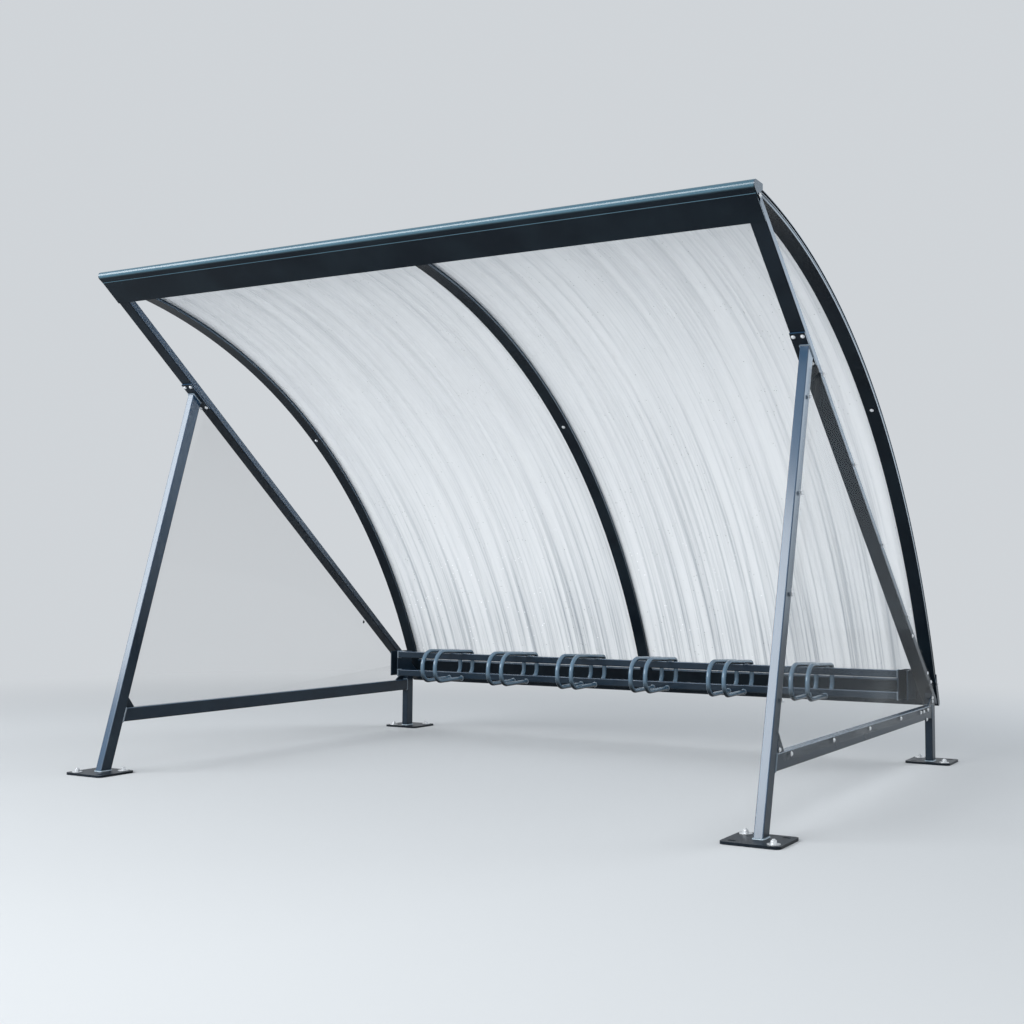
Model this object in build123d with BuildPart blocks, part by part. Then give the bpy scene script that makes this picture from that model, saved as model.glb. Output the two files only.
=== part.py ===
from build123d import *
from math import atan2, cos, degrees, radians, sin, sqrt, tan
import os

os.makedirs("parts", exist_ok=True)

# A bike shelter: two side frames of box section carry three arched roof profiles, two clear
# roof sheets, a round-nosed rail along the front and the rear, two clear side panels and a
# low rack of wheel hoops. Lengths are millimetres and angles degrees.
# +X runs along the shelter, +Y to its back and +Z up. The origin is on the ground at the
# middle of the footprint. A point in a side view is a (y, z) pair.

# Layout of the side frames
frame_spacing = 3000.0          # between the middle planes of the two side frames
footprint_depth = 2636.0        # front edge of the front plates to back edge of the rear ones
head_setback = 39.7             # front plate edge to the foot of the rail's nose
head_height = 2187.7            # height of the foot of the rail's nose
heel_height = 288.5             # underside of the beam at the back face of the rear stub

# Box sections: the beam lies flat, the posts and bars stand on edge
beam_width = 60.0
beam_depth = 35.0
post_width = 35.0
post_depth = 60.0
tube_wall = 2.5
tube_corner = 4.0

# Posts, bars and gussets
post_setback = 88.0             # front plate edge to the post's front face at the ground
post_lean = 17.0
stub_inset = 103.0              # rear plate edge to the stub's back face
bar_height = 217.0              # underside of the bottom bar
gusset_thick = 5.0
gusset_rise = 68.0
gusset_run = 76.0
rear_gusset_rise = 45.0
flange_thick = 6.0
flange_front = 62.0             # how far the flange runs past the post's front face
flange_back = 45.0

# Base plates with slotted anchor holes
plate_size = 210.0
plate_thick = 10.0
plate_corner = 20.0
anchor_pitch = 140.0
anchor_slot_length = 30.0
anchor_slot_width = 14.0

# Arched roof profiles, sheets and cap strips
arch_rise = 421.6               # from the chord between the two seats to the underside
arch_width = 60.0
arch_depth = 16.0
groove_height = 3.5             # groove along both sides of the arch profile
groove_bottom = 9.0
groove_deep = 5.0
sheet_thick = 10.0
sheet_edge = 6.0                # the sheet stops this far inside the outer arch's side
sheet_joint = 6.0               # gap between the two sheets over the middle arch
end_gap = 1.0                   # gap between a sheet's or strip's end and the rail's web
cap_thick = 4.0
cap_bevel = 1.5
seat_gap = 0.2                  # between a curved underside and the flat face that carries it

# Front rail: a round nose, a hood over the sheets and a fascia plate under the beams
rail_wall = 3.0
nose_radius = 18.0
nose_wall = 2.5
fascia_height = 147.0
seat_along = 31.4               # arch seat, measured along the fascia from the nose's foot
seat_above = 8.7                # and square to it
shelf_depth = 28.0
hood_depth = 67.0
lip_gap = 0.5                   # between the lip and the cap strip under it
bead_size = 2.0
bead_along = 24.0
end_cap_thick = 3.0

# Rear rail: a channel with a round lower edge, in line with the ends of the arches
rear_seat_inset = 95.0          # rear plate edge to the arch's lower seat
rear_seat_height = 385.0
rear_rail_height = 137.0
rear_lip_height = 22.0

# Side panels
panel_thick = 5.0
panel_overlap = 25.0            # covers this much of the post's side
panel_bar_lap = 32.0            # and this much of the bottom bar
panel_top_drop = 61.0           # front top corner under the flange, on the post
panel_back_run = 108.0          # from there along the beam to the back top corner
panel_corner_cut = 105.0        # height of the corner that is cut away round the gusset
panel_corner_run = 70.0
panel_rear_inset = 45.0         # panel's rear edge in front of the stub's back face
panel_radius = 4.0

# Rack of wheel hoops
hoop_pairs = 6
hoop_pitch = 413.0
hoop_gap = 80.0                 # between the middles of the two tubes of a pair
hoop_tube = 22.0
hoop_reach = 387.0              # middle of the rear legs to the middle of the fronts
hoop_top = 458.0                # middle of the upper run over the rear legs
hoop_rise = 16.0                # the upper run rises by this to the front
hoop_bottom = 315.0             # middle of the lower run at the rail
hoop_drop = 4.0                 # the lower run drops by this to the front
hoop_foot_bend = 45.0
hoop_rear_bend = 22.0
hoop_front_bend = 85.0
hoop_lower_bend = 60.0
hoop_mitre_count = 3            # straight steps in each bend
hoop_flat_count = 8             # flats round the tube
rack_inset = 258.0              # rear plate edge to the middle of the rear legs
rack_reach = 115.0              # and from there forward to the front faces of the rails
rack_rail_size = 35.0
lower_rail_top = 347.0
rack_end_inset = 50.0           # rack rail's end to the beam's inner face
bracket_depth = 140.0
bracket_wall = 6.0
rack_corner = 3.0

# Places that follow from the sizes above
front_edge = -footprint_depth / 2
rear_edge = footprint_depth / 2
frame_x = frame_spacing / 2
outer_x = frame_x + beam_width / 2
inner_x = frame_x - beam_width / 2
post_x = outer_x - post_width / 2
stub_back = rear_edge - stub_inset
stub_front = stub_back - post_depth
bar_top = bar_height + post_depth

# The beam's underside runs from the nose's foot down to the top of the rear stub
head = Vector(front_edge + head_setback, head_height)
heel = Vector(stub_back, heel_height)
down = (heel - head).normalized()
up = Vector(-down.Y, down.X)


def on_beam(along, above):
    """A side view point, along the beam from its head and square to its underside."""
    return head + down * along + up * above


# The arch's underside is one arc through the seats in the two rails
front_seat = on_beam(seat_along, seat_above)
rear_seat = Vector(rear_edge - rear_seat_inset, rear_seat_height)
chord = (rear_seat - front_seat).length
arch_radius = (chord**2 / 4 + arch_rise**2) / (2 * arch_rise)
chord_way = (rear_seat - front_seat).normalized()
chord_out = Vector(-chord_way.Y, chord_way.X)
arch_centre = (front_seat + rear_seat) * 0.5 - chord_out * (arch_radius - arch_rise)
arch_turn = 2 * degrees(atan2(chord / 2, arch_radius - arch_rise))
front_out = (front_seat - arch_centre).normalized()
front_way = Vector(front_out.Y, -front_out.X)
rear_out = (rear_seat - arch_centre).normalized()
rear_way = Vector(rear_out.Y, -rear_out.X)
sheet_low = arch_depth
sheet_high = sheet_low + sheet_thick
cap_top = sheet_high + cap_thick

# The post leans back to the flange under the beam
post_way = Vector(sin(radians(post_lean)), cos(radians(post_lean)))
post_side = Vector(post_way.Y, -post_way.X)
post_foot = Vector(front_edge + post_setback, 0)
post_middle = post_foot + post_side * (post_depth / 2)


def post_line(offset, height):
    """A side view point on a line along the post, offset back from its front face."""
    start = post_foot + post_side * offset
    return start + post_way * ((height - start.Y) / post_way.Y)


def post_at_flange(offset):
    """Distance along the beam where that line meets the underside of the flange."""
    start = post_foot + post_side * offset
    reach = -flange_thick - (start - head).dot(up)
    return (start + post_way * (reach / post_way.dot(up)) - head).dot(down)


def space(x, point):
    """The place in space of a side view point."""
    return Vector(x, point.X, point.Y)


def side_plane(point, normal):
    """A plane square to the side view, through a point and with its normal in that view."""
    return Plane(origin=space(0, point), x_dir=(1, 0, 0), z_dir=space(0, normal))


def write(name, piece):
    """Label a finished piece and write its file."""
    piece.part.label = name
    export_step(piece.part, f"parts/{name}.step")


def box_tube(x, point, way, width, depth, wall, corner, cuts, arch_trim=False):
    """A box section along a side view line, cut off by planes whose normals face inwards."""
    with BuildPart() as tube:
        with BuildSketch(Plane(origin=space(x, point), x_dir=(1, 0, 0), z_dir=space(0, way))):
            RectangleRounded(width, depth, corner)
            Rectangle(width - 2 * wall, depth - 2 * wall, mode=Mode.SUBTRACT)
        extrude(amount=footprint_depth * 2, both=True)
        for cut in cuts:
            split(bisect_by=cut, keep=Keep.TOP)
        if arch_trim:
            with BuildSketch(Plane.YZ.offset(x - width)):
                with Locations((arch_centre.X, arch_centre.Y)):
                    Circle(arch_radius - seat_gap)
            extrude(amount=2 * width, mode=Mode.INTERSECT)
    return tube


def side_plate(x_low, thick, points):
    """A flat plate in the side view, from x_low outwards along +X."""
    with BuildPart() as plate:
        with BuildSketch(Plane.YZ.offset(x_low)):
            with BuildLine():
                Polyline(*[(point.X, point.Y) for point in points], close=True)
            make_face()
        extrude(amount=thick)
    return plate


sides = {"left": -1, "right": 1}

# Base plates: a square plate under each post and stub, its slots along the shelter
for side, sign in sides.items():
    for end, y in {"front": front_edge + plate_size / 2, "rear": rear_edge - plate_size / 2}.items():
        with BuildPart() as base_plate:
            with BuildSketch(Plane.XY) as base_outline:
                with Locations((sign * post_x, y)):
                    RectangleRounded(plate_size, plate_size, plate_corner)
                    with GridLocations(anchor_pitch, anchor_pitch, 2, 2):
                        SlotOverall(anchor_slot_length, anchor_slot_width, mode=Mode.SUBTRACT)
            extrude(amount=plate_thick)
        write(f"base_plate_{end}_{side}", base_plate)

# Front posts: box section leaning back, the foot level and the head cut to the flange
plate_top = Plane.XY.offset(plate_thick)
under_flange = side_plane(on_beam(0, -flange_thick), -up)
for side, sign in sides.items():
    post = box_tube(sign * post_x, post_middle, post_way, post_width, post_depth,
                    tube_wall, tube_corner, [plate_top, under_flange])
    write(f"post_{side}", post)

# Post flanges: a flat plate on the post's head, as wide as the beam it is screwed to
flange_from = post_at_flange(0) - flange_front
flange_to = post_at_flange(post_depth) + flange_back
flange_outline = [on_beam(flange_from, -flange_thick), on_beam(flange_to, -flange_thick),
                  on_beam(flange_to, 0), on_beam(flange_from, 0)]
for side, sign in sides.items():
    flange = side_plate(sign * frame_x - beam_width / 2, beam_width, flange_outline)
    write(f"post_flange_{side}", flange)

# Rear stubs: short upright posts, their heads cut to the underside of the beam
under_beam = side_plane(head, -up)
stub_middle = Vector(stub_back - post_depth / 2, 0)
for side, sign in sides.items():
    stub = box_tube(sign * post_x, stub_middle, Vector(0, 1), post_width, post_depth,
                    tube_wall, tube_corner, [plate_top, under_beam])
    write(f"rear_stub_{side}", stub)

# Bottom bars: from the leaning post's back face to the stub's front face
behind_post = side_plane(post_foot + post_side * post_depth, post_side)
before_stub = side_plane(Vector(stub_front, 0), Vector(-1, 0))
bar_middle = Vector(0, bar_height + post_depth / 2)
for side, sign in sides.items():
    bar = box_tube(sign * post_x, bar_middle, Vector(1, 0), post_width, post_depth,
                   tube_wall, tube_corner, [behind_post, before_stub])
    write(f"bottom_bar_{side}", bar)

# Corner gussets: flush plates in the corners over the bottom bar
front_corner = post_line(post_depth, bar_top)
front_gusset = [front_corner, front_corner + Vector(gusset_run, 0),
                post_line(post_depth, bar_top + gusset_rise)]
rear_corner = Vector(stub_front, bar_top)
rear_gusset = [rear_corner - Vector(gusset_run, 0), rear_corner,
               rear_corner + Vector(0, rear_gusset_rise)]
for side, sign in sides.items():
    gusset_low = min(sign * outer_x, sign * (outer_x - gusset_thick))
    for end, outline in {"front": front_gusset, "rear": rear_gusset}.items():
        gusset = side_plate(gusset_low, gusset_thick, outline)
        write(f"gusset_{end}_{side}", gusset)

# Slanted beams: flat box section, trimmed to the arch at the head, the toe cut level and
# against the front face of the rear rail
behind_shelf = Plane(origin=(0, (front_seat + front_way * (shelf_depth + lip_gap)).X, 0), z_dir=(0, 1, 0))
rail_front = side_plane(rear_seat, -rear_out)
toe = rear_seat + rear_way * (rear_rail_height - nose_radius)
above_toe = Plane.XY.offset(toe.Y)
for side, sign in sides.items():
    beam = box_tube(sign * frame_x, on_beam(0, beam_depth / 2), down, beam_width, beam_depth,
                    tube_wall, tube_corner, [behind_shelf, rail_front, above_toe], arch_trim=True)
    write(f"beam_{side}", beam)

# Arches: an extruded profile with a groove in each side, bent to one radius; the section
# stands on the front seat and turns about the arc's centre
arch_axis = Axis(space(0, arch_centre), (1, 0, 0))


def arch_plane(x):
    """The plane of the roof sections at the front seat: x across and y outwards."""
    return Plane(origin=space(x, front_seat), x_dir=(1, 0, 0), z_dir=space(0, -front_way))


def bend(section_turn):
    """Turn the pending section back along the arch."""
    revolve(axis=arch_axis, revolution_arc=-section_turn)


for name, x in {"left": -frame_x, "middle": 0.0, "right": frame_x}.items():
    with BuildPart() as arch:
        with BuildSketch(arch_plane(x)):
            with Locations((0, arch_depth / 2)):
                Rectangle(arch_width, arch_depth)
            for edge in (-1, 1):
                with Locations((edge * (arch_width - groove_deep) / 2, groove_bottom + groove_height / 2)):
                    Rectangle(groove_deep, groove_height, mode=Mode.SUBTRACT)
        bend(arch_turn)
    write(f"arch_{name}", arch)

# Cap strips: flat bevelled strips that clamp the sheets' edges down on the arches
end_turn = degrees(end_gap / arch_radius)
for name, x in {"left": -frame_x, "middle": 0.0, "right": frame_x}.items():
    with BuildPart() as cap_strip:
        with BuildSketch(arch_plane(x)) as cap_section:
            with Locations((0, sheet_high + cap_thick / 2)):
                Rectangle(arch_width, cap_thick)
            chamfer(cap_section.vertices().group_by(Axis.Y)[-1], cap_bevel)
        bend(arch_turn - end_turn)
    write(f"cap_strip_{name}", cap_strip)

# Roof sheets: one clear multiwall sheet to a bay, bent over the arches
sheet_from = sheet_joint / 2
sheet_to = frame_x + arch_width / 2 - sheet_edge
for side, sign in sides.items():
    with BuildPart() as sheet:
        with BuildSketch(arch_plane(sign * (sheet_from + sheet_to) / 2)):
            with Locations((0, (sheet_low + sheet_high) / 2)):
                Rectangle(sheet_to - sheet_from, sheet_thick)
        bend(arch_turn - end_turn)
    write(f"roof_sheet_{side}", sheet)

# Front rail: nose, hood with a lip, web, shelf and fascia plate in one extruded section
nose_middle = on_beam(0, nose_radius - rail_wall)
hood_top = nose_middle.Y + nose_radius
hood_under = hood_top - rail_wall
hood_back = nose_middle.X + hood_depth
lip_front = hood_back - rail_wall
lip_reach = arch_radius + cap_top + lip_gap
lip_bottom = arch_centre.Y + sqrt(lip_reach**2 - (lip_front - arch_centre.X) ** 2)
web_top = front_seat + front_out * ((hood_under - front_seat.Y) / front_out.Y)
web_foot = front_seat - front_out * (seat_above / front_out.dot(up))
shelf_top = front_seat - front_out * seat_gap
with BuildPart() as front_rail:
    with BuildSketch(Plane.YZ.offset(-outer_x)):
        with Locations((nose_middle.X, nose_middle.Y)):
            Circle(nose_radius)
        for outline in (
            [Vector(nose_middle.X, hood_under), Vector(hood_back, hood_under),
             Vector(hood_back, hood_top), Vector(nose_middle.X, hood_top)],
            [Vector(lip_front, lip_bottom), Vector(hood_back, lip_bottom),
             Vector(hood_back, hood_top), Vector(lip_front, hood_top)],
            [web_foot - front_way * rail_wall - up, web_foot - up, web_top + front_out,
             web_top - front_way * rail_wall + front_out],
            [shelf_top - front_way, shelf_top - front_way - front_out * rail_wall,
             shelf_top + front_way * shelf_depth - front_out * rail_wall,
             shelf_top + front_way * shelf_depth],
            [on_beam(0, -rail_wall), on_beam(fascia_height, -rail_wall),
             on_beam(fascia_height, 0), on_beam(0, 0)],
            [on_beam(bead_along - bead_size, -rail_wall), on_beam(bead_along, -rail_wall - bead_size / 2),
             on_beam(bead_along + bead_size, -rail_wall), on_beam(bead_along, 0)],
        ):
            with BuildLine():
                Polyline(*[(point.X, point.Y) for point in outline], close=True)
            make_face()
        with Locations((nose_middle.X, nose_middle.Y)):
            Circle(nose_radius - nose_wall, mode=Mode.SUBTRACT)
    extrude(amount=2 * outer_x)
write("front_rail", front_rail)

# Front rail end caps: plates that close the nose and the hood
cap_low = on_beam(seat_along + rail_wall, 0)
for side, sign in sides.items():
    with BuildPart() as end_cap:
        with BuildSketch(Plane.YZ.offset(min(sign * outer_x, sign * (outer_x + end_cap_thick)))):
            with BuildLine():
                CenterArc((nose_middle.X, nose_middle.Y), nose_radius, 0, 360)
                Polyline((hood_back, hood_top), (hood_back, lip_bottom - cap_thick), (cap_low.X, cap_low.Y))
            make_hull()
        extrude(amount=end_cap_thick)
    write(f"front_rail_cap_{side}", end_cap)


def on_rear(along, out):
    """A side view point in the rear rail, down from the arch's seat and outwards."""
    return rear_seat + rear_way * along + rear_out * out


# Rear rail: a channel whose web carries the ends of the arches and sheets, with a lip
# outside them and a round lower edge
lip_inner = cap_top + lip_gap
lip_outer = lip_inner + rail_wall
round_outer = lip_outer / 2
round_middle = on_rear(rear_rail_height - round_outer, round_outer)
with BuildPart() as rear_rail:
    with BuildSketch(Plane.YZ.offset(-outer_x)):
        for outline in (
            [on_rear(0, 0), on_rear(0, lip_outer), on_rear(rail_wall, lip_outer), on_rear(rail_wall, 0)],
            [on_rear(0, 0), on_rear(rear_rail_height - round_outer, 0),
             on_rear(rear_rail_height - round_outer, rail_wall), on_rear(0, rail_wall)],
            [on_rear(-rear_lip_height, lip_inner), on_rear(rear_rail_height - round_outer, lip_inner),
             on_rear(rear_rail_height - round_outer, lip_outer), on_rear(-rear_lip_height, lip_outer)],
        ):
            with BuildLine():
                Polyline(*[(point.X, point.Y) for point in outline], close=True)
            make_face()
        start = on_rear(rear_rail_height - round_outer, 0)
        stop = on_rear(rear_rail_height - round_outer, lip_outer)
        low = on_rear(rear_rail_height, round_outer)
        inner_start = on_rear(rear_rail_height - round_outer, rail_wall)
        inner_stop = on_rear(rear_rail_height - round_outer, lip_inner)
        inner_low = on_rear(rear_rail_height - rail_wall, round_outer)
        with BuildLine():
            ThreePointArc((start.X, start.Y), (low.X, low.Y), (stop.X, stop.Y))
            Line((stop.X, stop.Y), (inner_stop.X, inner_stop.Y))
            ThreePointArc((inner_stop.X, inner_stop.Y), (inner_low.X, inner_low.Y),
                          (inner_start.X, inner_start.Y))
            Line((inner_start.X, inner_start.Y), (start.X, start.Y))
        make_face()
    extrude(amount=2 * outer_x)
write("rear_rail", rear_rail)

# Rear rail end caps
for side, sign in sides.items():
    with BuildPart() as end_cap:
        with BuildSketch(Plane.YZ.offset(min(sign * outer_x, sign * (outer_x + end_cap_thick)))):
            with BuildLine():
                CenterArc((round_middle.X, round_middle.Y), round_outer, 0, 360)
                Polyline(*[(point.X, point.Y) for point in (
                    on_rear(0, 0), on_rear(0, lip_outer - rail_wall), on_rear(-rear_lip_height, lip_outer))])
            make_hull()
        extrude(amount=end_cap_thick)
    write(f"rear_rail_cap_{side}", end_cap)

# Side panels: clear sheet on the outside of the frame, from the post to the beam's top edge
panel_bottom = bar_top - panel_bar_lap
panel_line = post_depth - panel_overlap
panel_along = post_at_flange(panel_line)
panel_top = on_beam(panel_along, -flange_thick).Y - panel_top_drop
panel_rear = stub_back - panel_rear_inset
rear_along = (panel_rear - on_beam(0, beam_depth).X) / down.X
panel_outline = [
    post_line(panel_line, panel_top),
    on_beam(panel_along + panel_back_run, beam_depth),
    on_beam(rear_along, beam_depth),
    Vector(panel_rear, panel_bottom),
    Vector(post_line(panel_line, panel_bottom + panel_corner_cut).X + panel_corner_run, panel_bottom),
    post_line(panel_line, panel_bottom + panel_corner_cut),
]
for side, sign in sides.items():
    with BuildPart() as side_panel:
        with BuildSketch(Plane.YZ.offset(min(sign * outer_x, sign * (outer_x + panel_thick)))) as outline:
            with BuildLine():
                Polyline(*[(point.X, point.Y) for point in panel_outline], close=True)
            make_face()
            fillet(outline.vertices(), panel_radius)
        extrude(amount=panel_thick)
    write(f"side_panel_{side}", side_panel)

# Rack rails: two equal square tubes one over the other, the upper one under the hoops' tops
leg_y = rear_edge - rack_inset
rack_front = leg_y - rack_reach
rack_back = rack_front + rack_rail_size
rack_end = inner_x - rack_end_inset
run_slope = atan2(hoop_rise, hoop_reach)
run_over_rail = hoop_top + (leg_y - rack_back) * tan(run_slope)
upper_rail_top = run_over_rail - hoop_tube / 2 / cos(run_slope) - seat_gap
for name, top in (("rack_rail_upper", upper_rail_top), ("rack_rail_lower", lower_rail_top)):
    rail_middle = (-rack_end, rack_front + rack_rail_size / 2, top - rack_rail_size / 2)
    with BuildPart() as rack_rail:
        with BuildSketch(Plane(origin=rail_middle, x_dir=(0, 1, 0), z_dir=(1, 0, 0))):
            RectangleRounded(rack_rail_size, rack_rail_size, rack_corner)
            Rectangle(rack_rail_size - 2 * tube_wall, rack_rail_size - 2 * tube_wall, mode=Mode.SUBTRACT)
        extrude(amount=2 * rack_end)
    write(name, rack_rail)

# Rack brackets: channels that carry the ends of both rack rails on the beams
bracket_low = lower_rail_top - rack_rail_size
bracket_middle = rack_front + bracket_depth / 2
for side, sign in sides.items():
    with BuildPart() as bracket:
        with BuildSketch(Plane.XY.offset(bracket_low)):
            with Locations((sign * (rack_end + inner_x) / 2, bracket_middle)):
                Rectangle(inner_x - rack_end, bracket_depth)
            with Locations((sign * (rack_end + inner_x) / 2, bracket_middle - bracket_wall)):
                Rectangle(inner_x - rack_end - 2 * bracket_wall, bracket_depth, mode=Mode.SUBTRACT)
        extrude(amount=upper_rail_top - bracket_low)
    write(f"rack_bracket_{side}", bracket)

# Wheel hoops: pairs of bent tube, from the lower rail's rear face back, up, forward over the
# upper rail, down and back to the lower rail; the section has flats, the bends a few mitres
hoop_front = leg_y - hoop_reach
foot_height = lower_rail_top - rack_rail_size / 2
hoop_corners = [
    Vector(rack_back, foot_height),
    Vector(leg_y, foot_height),
    Vector(leg_y, hoop_top),
    Vector(hoop_front, hoop_top + hoop_rise),
    Vector(hoop_front, hoop_bottom - hoop_drop),
    Vector(rack_front - seat_gap, hoop_bottom),
]
hoop_bends = [hoop_foot_bend, hoop_rear_bend, hoop_front_bend, hoop_lower_bend]
hoop_route = [hoop_corners[0]]
for index, bend_radius in enumerate(hoop_bends, start=1):
    corner = hoop_corners[index]
    way_in = (corner - hoop_corners[index - 1]).normalized()
    way_out = (hoop_corners[index + 1] - corner).normalized()
    turn = radians(way_in.get_angle(way_out))
    bend_start = corner - way_in * (bend_radius * tan(turn / 2))
    inwards = (way_out - way_in * way_out.dot(way_in)).normalized()
    for step in range(hoop_mitre_count + 1):
        part_turn = turn * step / hoop_mitre_count
        hoop_route.append(bend_start + way_in * (bend_radius * sin(part_turn))
                          + inwards * (bend_radius * (1 - cos(part_turn))))
hoop_route.append(hoop_corners[-1])
for pair in range(hoop_pairs):
    pair_x = (pair - (hoop_pairs - 1) / 2) * hoop_pitch
    with BuildPart() as hoops:
        for x in (pair_x - hoop_gap / 2, pair_x + hoop_gap / 2):
            with BuildLine(Plane.YZ.offset(x)) as route:
                Polyline(*[(point.X, point.Y) for point in hoop_route])
            with BuildSketch(Plane(origin=(x, rack_back, foot_height), x_dir=(1, 0, 0), z_dir=(0, 1, 0))):
                RegularPolygon(hoop_tube / 2, hoop_flat_count, major_radius=False,
                               rotation=180 / hoop_flat_count)
            sweep(path=route.line, transition=Transition.RIGHT)
    write(f"wheel_hoops_{pair + 1}", hoops)
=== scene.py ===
import bmesh
import bpy
from math import atan2, cos, hypot, pi, radians, sin, sqrt, tan
from mathutils import Matrix, Vector


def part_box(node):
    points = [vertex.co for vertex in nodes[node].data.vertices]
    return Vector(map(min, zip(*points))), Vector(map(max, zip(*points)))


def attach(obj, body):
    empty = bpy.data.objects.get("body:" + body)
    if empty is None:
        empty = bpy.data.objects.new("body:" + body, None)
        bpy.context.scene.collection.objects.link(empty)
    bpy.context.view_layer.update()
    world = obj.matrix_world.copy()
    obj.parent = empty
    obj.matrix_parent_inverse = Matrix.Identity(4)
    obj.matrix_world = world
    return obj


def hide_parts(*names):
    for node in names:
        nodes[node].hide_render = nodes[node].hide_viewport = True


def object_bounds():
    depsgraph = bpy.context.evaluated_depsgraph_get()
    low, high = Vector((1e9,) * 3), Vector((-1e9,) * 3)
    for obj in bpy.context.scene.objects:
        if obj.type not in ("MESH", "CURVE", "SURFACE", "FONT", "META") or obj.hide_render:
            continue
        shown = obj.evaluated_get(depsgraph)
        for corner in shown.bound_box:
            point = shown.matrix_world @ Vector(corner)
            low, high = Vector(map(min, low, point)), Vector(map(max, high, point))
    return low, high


# A bike shelter: steel side frames, an arched roof of clear multiwall sheet in aluminium
# profiles, clear side panels and a rack of wheel hoops. Lengths are metres.
# A point in a side view is a (y, z) pair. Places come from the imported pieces' boxes where
# those show them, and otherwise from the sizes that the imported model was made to.
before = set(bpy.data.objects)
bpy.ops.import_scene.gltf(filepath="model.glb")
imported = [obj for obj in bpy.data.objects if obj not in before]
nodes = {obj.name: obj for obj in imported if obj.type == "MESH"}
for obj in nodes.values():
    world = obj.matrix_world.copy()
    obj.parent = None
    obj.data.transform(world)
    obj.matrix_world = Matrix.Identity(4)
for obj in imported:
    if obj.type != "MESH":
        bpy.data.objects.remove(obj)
cad_low, cad_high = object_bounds()
sides = {"left": -1, "right": 1}

# The camera stands low at the right front, where the photographer stood, turned left and
# tipped up a little; its focal length and centre are those of the picture's own frame.
image_width = 1024
focal_pixels = 1390.85
centre_pixels = (513.32, 482.30)
camera_place = (3.1185, -5.6796, 0.8557)
camera_turn = radians(29.7596)
camera_tip = radians(94.0608)
camera_roll = radians(0.4209)
camera = bpy.data.cameras.new("camera")
camera.sensor_width = 36.0
camera.lens = camera.sensor_width * focal_pixels / image_width
camera.shift_x = 0.5 - centre_pixels[0] / image_width
camera.shift_y = centre_pixels[1] / image_width - 0.5
camera_stand = bpy.data.objects.new("camera", camera)
bpy.context.scene.collection.objects.link(camera_stand)
camera_stand.matrix_world = (
    Matrix.Translation(camera_place)
    @ Matrix.Rotation(camera_turn, 4, "Z")
    @ Matrix.Rotation(camera_tip, 4, "X")
    @ Matrix.Rotation(camera_roll, 4, "Z")
)
bpy.context.scene.camera = camera_stand
bpy.context.scene.view_settings.view_transform = "Standard"


# The floor is a wide pale sheet. Far from the shelter it turns into the background's own
# colour, so that no horizon shows from any side.
backdrop_colour = (0.63, 0.66, 0.69, 1.0)
floor_colour = (0.66, 0.67, 0.68, 1.0)
floor_size = 120.0
floor_fade = (3.0, 7.0)


class Socket:
    """A shader socket; sums, products and the like of it add Math nodes."""

    def __init__(self, tree, output=None):
        self.tree = tree
        self.output = output

    def node(self, kind, settings=(), inputs=(), output=0):
        """Add a node: its settings first, then the values or links of its inputs."""
        node = self.tree.nodes.new("ShaderNode" + kind)
        for key, value in dict(settings).items():
            setattr(node, key, value)
        for key, value in dict(inputs).items():
            if isinstance(value, Socket):
                self.tree.links.new(value.output, node.inputs[key])
            else:
                node.inputs[key].default_value = value
        return Socket(self.tree, node.outputs[output] if node.outputs else None)

    def math(self, operation, first, second):
        return self.node("Math", {"operation": operation}, {0: first, 1: second})

    def __add__(self, other):
        return self.math("ADD", self, other)

    def __sub__(self, other):
        return self.math("SUBTRACT", self, other)

    def __rsub__(self, other):
        return self.math("SUBTRACT", other, self)

    def __mul__(self, other):
        return self.math("MULTIPLY", self, other)

    __radd__ = __add__
    __rmul__ = __mul__

    def above(self, low, high):
        """0 where it is under low, 1 where it is over high, smooth between them."""
        return self.node("MapRange", {"interpolation_type": "SMOOTHSTEP"},
                         {"Value": self, "From Min": low, "From Max": high})

    def blend(self, first, second):
        """The first colour where it is 0 and the second where it is 1."""
        return self.node("Mix", {"data_type": "RGBA"}, {0: self, 6: first, 7: second}, 2)


def new_material(name):
    """An empty material and the start of its nodes."""
    material = bpy.data.materials.new(name)
    material.use_nodes = True
    material.node_tree.nodes.clear()
    return material, Socket(material.node_tree)


def floor_material():
    material, shader = new_material("pale_floor")
    place = shader.node("TexCoord", output="Object")
    distance = shader.node("VectorMath", {"operation": "LENGTH"}, {0: place}, 1)
    grain = shader.node("TexNoise", (), {"Vector": place, "Scale": 400.0, "Detail": 0.0})
    bump = shader.node("Bump", (), {"Height": grain, "Strength": 0.15, "Distance": 0.001})
    near = shader.node("BsdfPrincipled", (), {"Base Color": floor_colour, "Roughness": 0.9,
                                              "Specular IOR Level": 0.2, "Normal": bump})
    far = shader.node("Emission", (), {"Color": backdrop_colour})
    mixed = shader.node("MixShader", (), {0: distance.above(*floor_fade), 1: near, 2: far})
    shader.node("OutputMaterial", (), {"Surface": mixed})
    return material


bpy.ops.object.select_all(action="DESELECT")
bpy.ops.mesh.primitive_grid_add(x_subdivisions=8, y_subdivisions=8, size=floor_size)
floor = bpy.context.object
floor.name = "floor"
floor.data.materials.append(floor_material())

# Light: an even sky, a wide soft bank high at the left front, a weaker lamp behind on the
# right, a bluish one low there and a low fill in front. Two of them leave glints. The camera,
# and what is glossy or clear, see the plain backdrop.
sky_colour = (0.88, 0.94, 1.0, 1.0)
sky_strength = 0.46
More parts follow.
